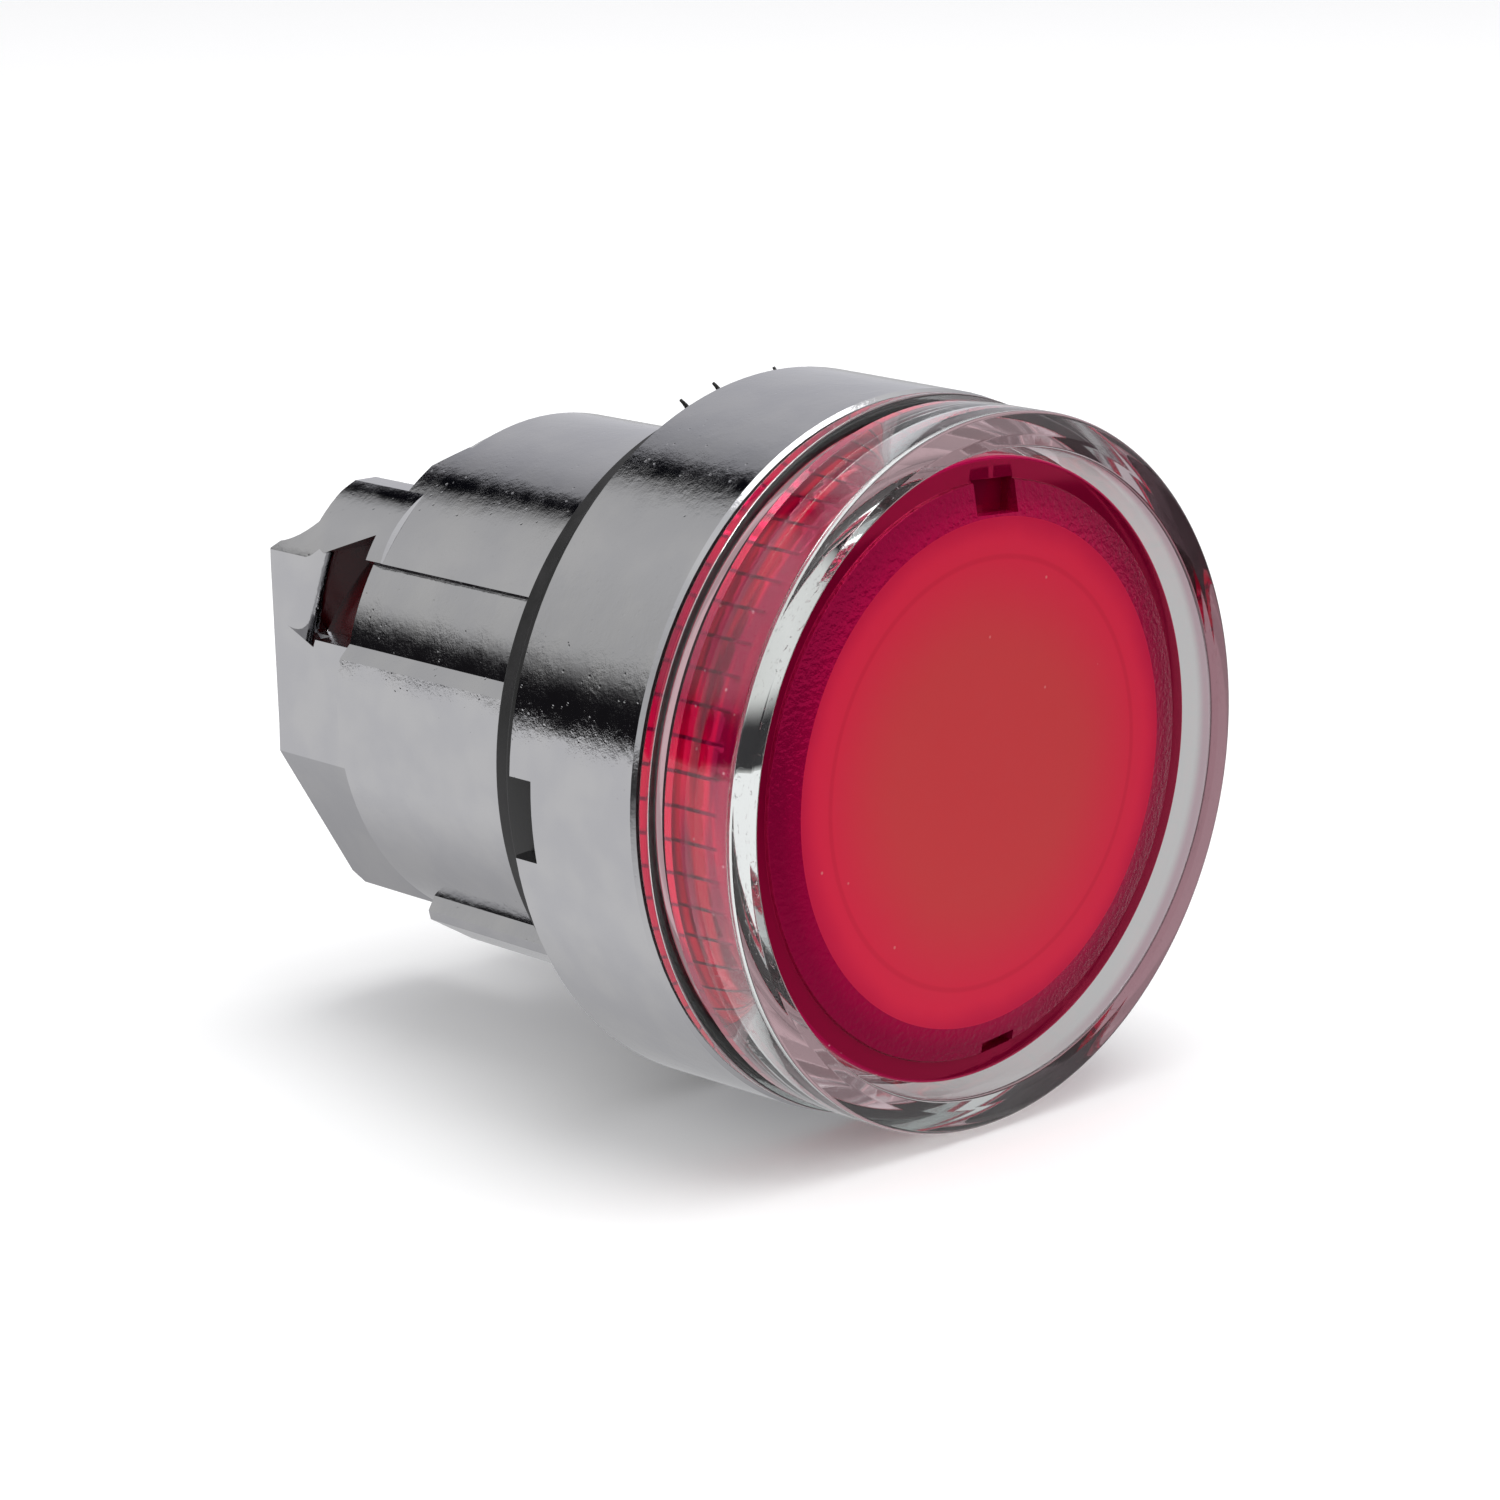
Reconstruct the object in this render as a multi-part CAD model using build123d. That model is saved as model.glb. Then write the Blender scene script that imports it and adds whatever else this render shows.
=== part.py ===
from build123d import *
import math
import os

# Illuminated flush push button head for a 22 mm panel hole, in millimetres.
#
# Every sub-part is drawn in a local frame: local +Z points out of the panel towards the
# finger, local +Y is up, and local z = 0 is the panel's front face, where the rubber
# gasket bears.  place() then turns the head so that it faces -Y with +Z up.
# Angles round the head start at 12 o'clock and grow towards 9 o'clock, seen from the front.

# ---------------------------------------------------------------- driving dimensions
BEZEL_R = 14.5            # standard 29 mm bezel
BEZEL_FRONT_R = 14.42     # the bezel draws in slightly towards the front
BEZEL_BORE_R = 13.6
BEZEL_REAR = 2.2          # rear rim of the bezel, above the panel
BEZEL_FRONT = 9.3
WEB_REAR = 3.65           # web that joins the bezel to the neck
WEB_FRONT = 4.4
BEZEL_NOTCH_ANGLE = 94.8
BEZEL_NOTCH_WIDTH = 3.3

NECK_R = 11.0             # passes a 22.5 mm panel hole
NECK_REAR = -12.3
NECK_BORE_R = 9.5
NECK_CHAMFER_LONG = 1.0
NECK_CHAMFER_DEEP = 0.45
SEAL_POCKET_R = 10.2
SEAL_POCKET_FLOOR = 2.4

CHANNEL_DEPTH = 0.42      # shallow channels along the neck
CHANNEL_START = 57.5
CHANNEL_END = 76.0
CHANNEL_FLANK = 3.4       # degrees taken by the sloping flank below each channel

KEY_ANGLE = 150.0         # anti-rotation key
KEY_WIDTH = 3.2
KEY_R = 11.85
KEY_REAR = -11.3

TONGUE_REAR = -18.1       # two tongues that the fixing collar hooks onto
TONGUE_TIP = -18.4
TONGUE_BORE_R = 8.35
TONGUE_FLAT = 9.5         # flat side of a tongue, from the axis
TONGUE_SLANT = 9.69       # second flat, turned further down
TONGUE_SLANT_ANGLE = 122.2
TONGUE_TOP = 8.5
TONGUE_EDGE = 5.9         # a tongue's upper edge reaches in to here, from the upright plane
TONGUE_FOOT = -9.6
TONGUE_ROOT = NECK_REAR + 1.0   # where a tongue grows out of the neck's wall
TONGUE_SHOULDER = 9.4     # the root widens to here at the neck's rear ...
TONGUE_SHOULDER_TOP = 10.1      # ... and to here a little further forward
TONGUE_CROWN_R = 6.0      # the outer face above the flat is a little fuller than the neck
TONGUE_CROWN_AT = (-3.92, 3.34)
TONGUE_CORNER = 0.5       # cut corner at a tongue's foot
TONGUE_HEEL = -2.0        # the tongue's end slopes from the hook's tip down to here
HOOK_SHOULDER = -15.95    # step that the collar bears on
HOOK_STEP = 0.2           # chamfer above the shoulder, at TONGUE_TOP
HOOK_OUTER = 8.1          # the shoulder runs from here ...
HOOK_INNER = 6.95         # ... to here, then curves down to the tip
HOOK_CURVE_MIDDLE = (6.5, -16.6)
HOOK_CURVE_END = (5.95, -17.9)
HOOK_TIP_HIGH = 5.6
HOOK_TIP_LOW = 5.1
WINDOW_LOW = 2.1
WINDOW_REAR = -16.5       # rear end of the window at its lower side ...
WINDOW_REAR_HIGH = (5.83, -15.0)    # ... and at the top of its slanting rear side
WINDOW_TOP_REAR = (6.0, -14.6)
WINDOW_TOP_FRONT = 6.9
WINDOW_ROUND = 0.9        # rounding of the window's rear side towards the outside

LEDGE_FRONT = -10.2       # two ledges inside the neck carry the return spring
LEDGE_REAR = -11.4
LEDGE_R = 5.95
LEDGE_HALF_ANGLE = 37.0

GASKET_R = 13.55
GASKET_STEP_R = 13.1
GASKET_STEP = 1.1
GASKET_FRONT = WEB_REAR
NIB_R = 14.4
NIB_ANGLES = (-3.0, 10.0, 17.5)

RING_BORE_R = 12.75       # clear guard ring
RING_R = 14.17
RING_FLANGE_R = 14.32
RING_FOOT_R = 13.57
RING_FOOT_REAR = 4.8
RING_FLANGE_REAR = 9.45
RING_GROOVE_REAR = 10.0
RING_GROOVE_FRONT = 10.7
RING_GROOVE_R = 13.35
RING_FRONT = 14.26
RING_EDGE = 0.45          # rounding of the ring's outer front edge
RING_CROWN = 0.12         # the front face falls this much from its inner to its outer edge
ORING_GAP = 0.06          # on each side of the rubber ring in its groove

LENS_R = 12.35
LENS_SKIRT_REAR = 8.1
LENS_SKIRT_BORE_R = 11.5
LENS_RIM_HEIGHT = 13.25
LENS_RIM_R = 11.42
LENS_FACE_R = 10.05
LENS_FACE = 13.75
LENS_WALL = 1.25
LENS_SLOT_FLOOR = 12.7
LENS_SLOTS = ((-3.0, 2.3, 10.1), (186.0, 1.8, 10.95))      # angle, width, inner radius

PLUNGER_HEAD_REAR = 9.0
PLUNGER_HEAD_FRONT = 10.2
PLUNGER_HEAD_R = 10.9
PLUNGER_CUP_BORE_R = 10.0
PLUNGER_CUP_FRONT = 11.6
BARREL_R = 8.3
BARREL_BORE_R = 7.1
BARREL_REAR = -5.8
LEG_R = 8.0
LEG_REAR = -16.5
LEG_STEP_R = 7.65         # inner layer of a leg, which stands out behind its outer layer
LEG_STEP_REAR = -17.3
LEG_HALF_ANGLE = 46.0
LIGHT_TUBE_R = 5.5
LIGHT_BORE_R = 4.6
LIGHT_TUBE_REAR = -13.4

SPRING_WIRE_R = 0.4
SPRING_MEAN_R = 6.3
SPRING_TURNS = 7.5
WASHER_THICK = 0.5
WASHER_R = 6.9

CLIP_THICK = 0.6
CLIP_R = 6.8
CLIP_GAP = 0.1            # end float of the plunger
CLIP_GROOVE_R = 5.05
CLIP_LUG_R = 0.75         # two lugs with plier holes beside the clip's opening
CLIP_LUG_X = 1.7
CLIP_LUG_Y = 6.35
CLIP_HOLE_R = 0.32
CLIP_HOLE_Y = 6.5
CLIP_OPENING = 1.6

RUNNING_GAP = 0.05        # between the plunger and the parts that guide it
FIT_GAP = 0.02            # between parts pressed or glued together


# ---------------------------------------------------------------- helpers
def place(shape):
    """Turn a head-frame shape into the part's frame: it faces -Y, with +Z up."""
    return Rot(90, 0, 0) * shape


def round_bar(radius, low, high):
    """Cylinder on the axis from height low to height high."""
    return Pos(0, 0, low) * Cylinder(radius, high - low, align=(Align.CENTER, Align.CENTER, Align.MIN))


def tube(outer, inner, low, high):
    """Hollow cylinder on the axis."""
    return round_bar(outer, low, high) - round_bar(inner, low - 1.0, high + 1.0)


def turned(points):
    """Solid of revolution from an outline of (radius, height) points."""
    outline = make_face(Polyline([(r, 0, z) for r, z in points], close=True))
    return revolve(outline, axis=Axis.Z)


def ray(angle, radius=1.0):
    """Point at an angle round the head, measured from 12 o'clock towards 9 o'clock."""
    turn = math.radians(90.0 + angle)
    return (radius * math.cos(turn), radius * math.sin(turn))


def block(x_low, x_high, y_low, y_high, z_low, z_high):
    """Box given by its limits."""
    size = (x_high - x_low, y_high - y_low, z_high - z_low)
    corner = Pos(x_low, y_low, z_low)
    return corner * Box(*size, align=(Align.MIN, Align.MIN, Align.MIN))


def sector(start, end, radius, low, high):
    """Wedge of a cylinder between two angles, for trimming; it spans less than 180 degrees."""
    steps = 8
    rim = [ray(start + (end - start) * i / steps, radius * 1.2) for i in range(steps + 1)]
    wedge = make_face(Polyline([(0, 0)] + rim, close=True))
    return Pos(0, 0, low) * extrude(wedge, high - low)


def both_sides(shape):
    """The shape and its twin half a turn round the axis."""
    return shape + Rot(0, 0, 180) * shape


def left_and_right(shape):
    """The shape and its mirror image across the upright plane through the axis."""
    return shape + mirror(shape, about=Plane.YZ)


# ---------------------------------------------------------------- body casting
def bezel():
    """Outer shell, the web behind it and the pocket that holds the gasket."""
    shell = turned([
        (BEZEL_BORE_R, BEZEL_REAR),
        (BEZEL_R - 0.25, BEZEL_REAR),
        (BEZEL_R, BEZEL_REAR + 0.25),
        (BEZEL_FRONT_R, BEZEL_FRONT - 0.15),
        (BEZEL_FRONT_R - 0.15, BEZEL_FRONT),
        (BEZEL_BORE_R, BEZEL_FRONT),
    ])
    web = round_bar(BEZEL_BORE_R + 0.3, WEB_REAR, WEB_FRONT)
    x, y = ray(BEZEL_NOTCH_ANGLE, BEZEL_R)
    notch = Box(3.0, BEZEL_NOTCH_WIDTH, 2 * (WEB_REAR - BEZEL_REAR))
    notch = Pos(x, y, BEZEL_REAR) * Rot(0, 0, 90 + BEZEL_NOTCH_ANGLE) * notch
    return shell + web - notch


def channel(rear):
    """Shallow channel along the neck's left side: a sharp upper wall and a sloping lower flank."""
    floor_r = NECK_R - CHANNEL_DEPTH
    outer = NECK_R + 1.0
    flank = CHANNEL_END + CHANNEL_FLANK
    steps = 6
    width = CHANNEL_END - CHANNEL_START
    floor = [ray(CHANNEL_START + width * i / steps, floor_r) for i in range(steps + 1)]
    rim = [ray(flank, NECK_R), ray(flank, outer), ray(CHANNEL_START, outer)]
    outline = make_face(Polyline(floor + rim, close=True))
    cutter = Pos(0, 0, rear) * extrude(outline, WEB_REAR - rear)
    return cutter - round_bar(floor_r, rear - 1.0, WEB_FRONT)


def neck():
    """Tube that passes through the panel, with a chamfered rear rim."""
    rim = NECK_R - NECK_CHAMFER_DEEP
    wall = turned([
        (NECK_BORE_R, NECK_REAR),
        (rim, NECK_REAR),
        (NECK_R, NECK_REAR + NECK_CHAMFER_LONG),
        (NECK_R, WEB_FRONT),
        (NECK_BORE_R, WEB_FRONT),
    ])
    return wall - left_and_right(channel(NECK_REAR - 1.0))


def key():
    """Rib that stops the head from turning in a notched panel hole."""
    rib = block(-KEY_WIDTH / 2, KEY_WIDTH / 2, NECK_BORE_R + 0.5, KEY_R, KEY_REAR, WEB_REAR)
    rib = chamfer(rib.edges().filter_by(Axis.Z).group_by(Axis.Y)[-1], 0.3)
    return Rot(0, 0, KEY_ANGLE) * rib


def hook_outline():
    """Side view of one tongue as (up, height) points, seen from 9 o'clock."""
    shoulder_end = (HOOK_INNER, HOOK_SHOULDER - 0.1)
    with BuildSketch(Plane.YZ) as outline:
        with BuildLine():
            Polyline(
                (TONGUE_FOOT, TONGUE_ROOT),
                (TONGUE_SHOULDER_TOP, TONGUE_ROOT),
                (TONGUE_SHOULDER_TOP, TONGUE_ROOT - 0.2),
                (TONGUE_SHOULDER, NECK_REAR),
                (TONGUE_TOP, NECK_REAR),
                (TONGUE_TOP, HOOK_SHOULDER + HOOK_STEP),
                (HOOK_OUTER, HOOK_SHOULDER),
                shoulder_end,
            )
            ThreePointArc(shoulder_end, HOOK_CURVE_MIDDLE, HOOK_CURVE_END)
            Polyline(
                HOOK_CURVE_END,
                (HOOK_TIP_HIGH, TONGUE_TIP),
                (HOOK_TIP_LOW, TONGUE_TIP),
                (TONGUE_HEEL, TONGUE_REAR),
                (TONGUE_FOOT + TONGUE_CORNER, TONGUE_REAR),
                (TONGUE_FOOT, TONGUE_REAR + TONGUE_CORNER),
                (TONGUE_FOOT, TONGUE_ROOT),
            )
        make_face()
    return outline.sketch


def crown():
    """Fuller outer face of a tongue; its front end runs out at 45 degrees into the neck."""
    x, y = TONGUE_CROWN_AT
    reach = TONGUE_ROOT - TONGUE_TIP
    run_out = turned([(0, TONGUE_TIP), (NECK_R + reach, TONGUE_TIP), (NECK_R, TONGUE_ROOT), (0, TONGUE_ROOT)])
    fuller = Pos(x, y, 0) * round_bar(TONGUE_CROWN_R, TONGUE_TIP, TONGUE_ROOT)
    return (fuller & run_out) - round_bar(TONGUE_BORE_R, TONGUE_TIP - 1, TONGUE_ROOT + 1)


def latch_window():
    """Opening through a tongue's wall, with a slanting rear side."""
    outline = Polyline(
        (WINDOW_LOW, WINDOW_REAR),
        WINDOW_REAR_HIGH,
        WINDOW_TOP_REAR,
        (WINDOW_TOP_FRONT, NECK_REAR),
        (WINDOW_LOW, NECK_REAR),
        close=True,
    )
    opening = Plane.YZ * make_face(outline)
    return Pos(-NECK_R - 2, 0, 0) * extrude(opening, NECK_R - 4.0, dir=(1, 0, 0))


def window_rounding():
    """Tool that rounds the window's rear side towards the outside."""
    low = Vector(-TONGUE_FLAT, WINDOW_LOW, WINDOW_REAR)
    edge = Vector(-TONGUE_FLAT, *WINDOW_REAR_HIGH) - low
    r = WINDOW_ROUND
    bar = block(-r, r, -r, r, 0, edge.length)
    bar -= Pos(r, r, 0) * round_bar(r, -1, edge.length + 1)
    return Plane(origin=low, x_dir=(1, 0, 0), z_dir=edge) * bar


def tongue():
    """One rear tongue: flats outside, a window for the latch and a hooked end."""
    outer = -NECK_R - 2
    wall = tube(NECK_R, TONGUE_BORE_R, TONGUE_TIP - 0.5, TONGUE_ROOT) + crown()
    side = Pos(outer, 0, 0) * extrude(hook_outline(), 12.0, dir=(1, 0, 0))
    piece = wall & side
    behind = NECK_REAR - 8.0
    piece -= block(outer, -TONGUE_FLAT, -6.0, 12, behind, NECK_REAR)
    slant = Rot(0, 0, 90 + TONGUE_SLANT_ANGLE) * block(TONGUE_SLANT, 14, -7, 7, behind, NECK_REAR)
    piece -= slant
    piece -= block(-TONGUE_EDGE, 0, WINDOW_TOP_FRONT - 0.6, 12, behind, NECK_REAR)
    return piece - latch_window() - window_rounding() - channel(NECK_REAR)


def ledges():
    """Inward ledges at 12 and 6 o'clock that carry the return spring."""
    ring = tube(NECK_BORE_R + 0.3, LEDGE_R, LEDGE_REAR, LEDGE_FRONT)
    wedge = sector(-LEDGE_HALF_ANGLE, LEDGE_HALF_ANGLE, NECK_BORE_R + 1, LEDGE_REAR, LEDGE_FRONT)
    return both_sides(ring & wedge)


def body_casting():
    """Chrome-plated zinc casting: bezel, neck, key, spring ledges and rear tongues."""
    shell = bezel() + neck() + key() + left_and_right(tongue()) + ledges()
    shell -= round_bar(SEAL_POCKET_R, SEAL_POCKET_FLOOR, WEB_FRONT + 1)
    shell -= round_bar(NECK_BORE_R, LEDGE_FRONT, WEB_FRONT + 1)
    return shell


# ---------------------------------------------------------------- fixed parts
def panel_gasket():
    """Stepped rubber gasket that seals the bezel to the panel, with three edge nibs."""
    ring = turned([
        (NECK_R + FIT_GAP, 0.0),
        (GASKET_STEP_R, 0.0),
        (GASKET_STEP_R, GASKET_STEP),
        (GASKET_R, GASKET_STEP),
        (GASKET_R, GASKET_FRONT),
        (NECK_R + FIT_GAP, GASKET_FRONT),
    ])
    for angle in NIB_ANGLES:
        nib = block(-0.22, 0.22, GASKET_R - 0.4, NIB_R, GASKET_STEP, BEZEL_REAR - 0.05)
        ring += Rot(0, 0, angle) * nib
    key_way = block(-KEY_WIDTH / 2 - 0.05, KEY_WIDTH / 2 + 0.05, 10.0, KEY_R + 0.05, -1, 5)
    return ring - Rot(0, 0, KEY_ANGLE) * key_way


def guard_ring():
    """Clear ring that stands round the lens; its foot sits in the bezel."""
    return turned([
        (RING_BORE_R, RING_FOOT_REAR),
        (RING_FOOT_R, RING_FOOT_REAR),
        (RING_FOOT_R, RING_FLANGE_REAR),
        (RING_FLANGE_R, RING_FLANGE_REAR),
        (RING_FLANGE_R, RING_GROOVE_REAR),
        (RING_GROOVE_R, RING_GROOVE_REAR),
        (RING_GROOVE_R, RING_GROOVE_FRONT),
        (RING_R, RING_GROOVE_FRONT),
        (RING_R, RING_FRONT - RING_CROWN - RING_EDGE),
        (RING_R - 0.3 * RING_EDGE, RING_FRONT - RING_CROWN - RING_EDGE / 3),
        (RING_R - RING_EDGE, RING_FRONT - RING_CROWN),
        (RING_BORE_R + 0.5, RING_FRONT),
        (RING_BORE_R + 0.12, RING_FRONT),
        (RING_BORE_R, RING_FRONT - 0.12),
    ])


def ring_gasket():
    """Thin black gasket between the bezel's front rim and the guard ring."""
    return tube(RING_FLANGE_R - 0.12, RING_FOOT_R + FIT_GAP, BEZEL_FRONT, RING_FLANGE_REAR)


def ring_o_ring():
    """Square-section rubber ring in the guard ring's groove."""
    outer = RING_R - 0.32
    return tube(outer, RING_GROOVE_R, RING_GROOVE_REAR + ORING_GAP, RING_GROOVE_FRONT - ORING_GAP)


def wiper_seal():
    """Rubber lip seal that runs on the plunger's barrel."""
    lip_r = BARREL_R + RUNNING_GAP
    top = SEAL_POCKET_FLOOR + 1.4
    return turned([
        (lip_r + 0.75, SEAL_POCKET_FLOOR),
        (SEAL_POCKET_R - FIT_GAP, SEAL_POCKET_FLOOR),
        (SEAL_POCKET_R - FIT_GAP, top),
        (lip_r + 0.75, top),
        (lip_r + 0.6, top - 0.45),
        (lip_r, top - 0.15),
        (lip_r, top - 0.4),
        (lip_r + 0.55, SEAL_POCKET_FLOOR + 0.45),
    ])


def seal_retainer():
    """Pressed steel washer that holds the lip seal in its pocket."""
    low = SEAL_POCKET_FLOOR + 1.4
    return tube(SEAL_POCKET_R - FIT_GAP, BARREL_R + 0.45, low, WEB_FRONT)


def guide_bush():
    """Plastic bush in the neck that guides the plunger's barrel."""
    bore = BARREL_R + RUNNING_GAP
    return turned([
        (bore + 0.2, -4.5),
        (NECK_BORE_R - FIT_GAP, -4.5),
        (NECK_BORE_R - FIT_GAP, SEAL_POCKET_FLOOR),
        (bore + 0.2, SEAL_POCKET_FLOOR),
        (bore, SEAL_POCKET_FLOOR - 0.2),
        (bore, -4.3),
    ])


def spring_seat_washer():
    """Flat steel washer that gives the spring a full seat across the two ledges."""
    return tube(WASHER_R, LEDGE_R, LEDGE_FRONT, LEDGE_FRONT + WASHER_THICK)


def return_spring():
    """Compression spring round the light tube, drawn as a plain helix."""
    low = LEDGE_FRONT + WASHER_THICK + SPRING_WIRE_R
    high = PLUNGER_HEAD_REAR - SPRING_WIRE_R
    length = high - low
    path = Helix(pitch=length / SPRING_TURNS, height=length, radius=SPRING_MEAN_R)
    start = Plane(origin=path @ 0, z_dir=path % 0)
    wire = sweep(start * Circle(SPRING_WIRE_R), path=path)
    return Pos(0, 0, low) * wire


# ---------------------------------------------------------------- moving parts
def plunger():
    """Red moulding: head cup, guided barrel, central light tube and two pusher legs."""
    head = round_bar(PLUNGER_HEAD_R, PLUNGER_HEAD_REAR, PLUNGER_CUP_FRONT)
    head -= round_bar(PLUNGER_CUP_BORE_R, PLUNGER_HEAD_FRONT, PLUNGER_CUP_FRONT + 1)
    barrel = tube(BARREL_R, BARREL_BORE_R, BARREL_REAR, PLUNGER_HEAD_REAR)
    leg_ring = tube(LEG_R, BARREL_BORE_R, LEG_REAR, BARREL_REAR)
    left = 90.0
    wedge = sector(left - LEG_HALF_ANGLE, left + LEG_HALF_ANGLE, LEG_R, LEG_REAR, BARREL_REAR)
    legs = both_sides(leg_ring & wedge)
    step_ring = tube(LEG_STEP_R, BARREL_BORE_R, LEG_STEP_REAR, LEG_REAR)
    step_wedge = sector(left - LEG_HALF_ANGLE, left + LEG_HALF_ANGLE, LEG_R, LEG_STEP_REAR, LEG_REAR)
    legs += both_sides(step_ring & step_wedge)
    light_tube = round_bar(LIGHT_TUBE_R, LIGHT_TUBE_REAR, PLUNGER_HEAD_REAR)
    body = head + barrel + legs + light_tube
    body -= round_bar(LIGHT_BORE_R, LIGHT_TUBE_REAR - 1, PLUNGER_CUP_FRONT)
    groove_top = LEDGE_REAR - CLIP_GAP
    groove = tube(LIGHT_TUBE_R + 1, CLIP_GROOVE_R, groove_top - CLIP_THICK, groove_top)
    return body - groove


def lens_slot(angle, width, inner_r):
    """Tool slot in the lens's shoulder, for unscrewing it."""
    slot = block(-width / 2, width / 2, inner_r, LENS_RIM_R + 0.05, LENS_SLOT_FLOOR, LENS_FACE + 1)
    return Rot(0, 0, angle) * slot


def lens_cap():
    """Red lens: flat face, sloping shoulder, lower rim and a skirt over the plunger head."""
    inner_face = LENS_FACE - LENS_WALL
    cap = turned([
        (0.0, LENS_FACE),
        (LENS_FACE_R, LENS_FACE),
        (LENS_RIM_R, LENS_RIM_HEIGHT + 0.12),
        (LENS_RIM_R, LENS_RIM_HEIGHT),
        (LENS_R - 0.12, LENS_RIM_HEIGHT),
        (LENS_R, LENS_RIM_HEIGHT - 0.12),
        (LENS_R, LENS_SKIRT_REAR),
        (LENS_SKIRT_BORE_R, LENS_SKIRT_REAR),
        (LENS_SKIRT_BORE_R, PLUNGER_CUP_FRONT),
        (PLUNGER_HEAD_R - 0.4, PLUNGER_CUP_FRONT),
        (PLUNGER_HEAD_R - 0.4, inner_face),
        (0.0, inner_face),
    ])
    for angle, width, inner_r in LENS_SLOTS:
        cap -= lens_slot(angle, width, inner_r)
    return cap


def diffuser_disc():
    """White diffuser held between the plunger's cup and the lens."""
    return round_bar(PLUNGER_CUP_BORE_R - 0.1, PLUNGER_CUP_FRONT - 0.4, LENS_FACE - LENS_WALL)


def lens_seal():
    """Rubber ring between the plunger's head and the lens skirt."""
    return tube(LENS_SKIRT_BORE_R, PLUNGER_HEAD_R, PLUNGER_HEAD_REAR + 0.5, PLUNGER_HEAD_REAR + 1.5)


def retaining_clip():
    """Open circlip that keeps the plunger in the body, behind the spring ledges."""
    high = LEDGE_REAR - CLIP_GAP
    low = high - CLIP_THICK
    clip = tube(CLIP_R, CLIP_GROOVE_R, low, high)
    for x in (-CLIP_LUG_X, CLIP_LUG_X):
        lug = Pos(x, CLIP_LUG_Y, 0) * round_bar(CLIP_LUG_R, low, high)
        hole = Pos(x, CLIP_HOLE_Y, 0) * round_bar(CLIP_HOLE_R, low - 1, high + 1)
        clip = clip + lug - hole
    half = CLIP_OPENING / 2
    return clip - block(-half, half, 0, CLIP_R + 2, low - 1, high + 1)


# ---------------------------------------------------------------- output
NODES = {
    "body_casting": body_casting,
    "panel_gasket": panel_gasket,
    "guard_ring": guard_ring,
    "ring_gasket": ring_gasket,
    "ring_o_ring": ring_o_ring,
    "wiper_seal": wiper_seal,
    "seal_retainer": seal_retainer,
    "guide_bush": guide_bush,
    "spring_seat_washer": spring_seat_washer,
    "return_spring": return_spring,
    "plunger": plunger,
    "lens_cap": lens_cap,
    "diffuser_disc": diffuser_disc,
    "lens_seal": lens_seal,
    "retaining_clip": retaining_clip,
}

os.makedirs("parts", exist_ok=True)
for name, make in NODES.items():
    export_step(place(make()), "parts/" + name + ".step")
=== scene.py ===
"""Looks of the illuminated push button head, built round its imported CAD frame.

Metres, in the part's own frame: -Y out of the panel towards the finger, +Z up, and the
axis of the head on the Y axis.  Lengths below are written in millimetres and multiplied
by MM.  "Depth" is -y, the distance in front of the panel's face.
"""
import math

import bmesh
import bpy
from mathutils import Matrix, Vector


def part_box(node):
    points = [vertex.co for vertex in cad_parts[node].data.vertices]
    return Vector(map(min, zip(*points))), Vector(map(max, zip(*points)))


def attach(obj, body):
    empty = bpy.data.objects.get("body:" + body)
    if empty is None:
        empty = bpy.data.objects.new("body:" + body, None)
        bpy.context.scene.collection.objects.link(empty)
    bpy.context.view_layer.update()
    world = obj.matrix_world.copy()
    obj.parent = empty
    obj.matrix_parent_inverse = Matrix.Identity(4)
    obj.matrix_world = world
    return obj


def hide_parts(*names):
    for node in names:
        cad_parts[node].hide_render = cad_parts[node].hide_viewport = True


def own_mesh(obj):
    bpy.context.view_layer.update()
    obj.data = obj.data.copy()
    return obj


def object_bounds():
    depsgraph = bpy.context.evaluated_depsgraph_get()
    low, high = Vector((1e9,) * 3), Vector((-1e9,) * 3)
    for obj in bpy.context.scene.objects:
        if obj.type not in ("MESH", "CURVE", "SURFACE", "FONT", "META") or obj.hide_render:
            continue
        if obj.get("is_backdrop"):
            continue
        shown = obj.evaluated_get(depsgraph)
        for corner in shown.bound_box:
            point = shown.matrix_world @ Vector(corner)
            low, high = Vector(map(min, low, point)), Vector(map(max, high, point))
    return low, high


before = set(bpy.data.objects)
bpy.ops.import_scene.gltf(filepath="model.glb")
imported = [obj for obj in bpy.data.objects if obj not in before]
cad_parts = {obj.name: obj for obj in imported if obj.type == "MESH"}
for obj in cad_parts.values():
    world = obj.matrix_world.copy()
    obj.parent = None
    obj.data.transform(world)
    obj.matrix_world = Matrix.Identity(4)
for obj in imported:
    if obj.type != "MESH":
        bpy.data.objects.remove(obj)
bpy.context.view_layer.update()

MM = 0.001

# ------------------------------------------------------------------ dimensions, in millimetres
FOOT_R = 13.57            # clear ring: the foot inside the bezel, its flange and its groove
FLANGE_REAR = 9.46
GROOVE_REAR = 10.0
GROOVE_FRONT = 10.7
GROOVE_R = 13.35

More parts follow.
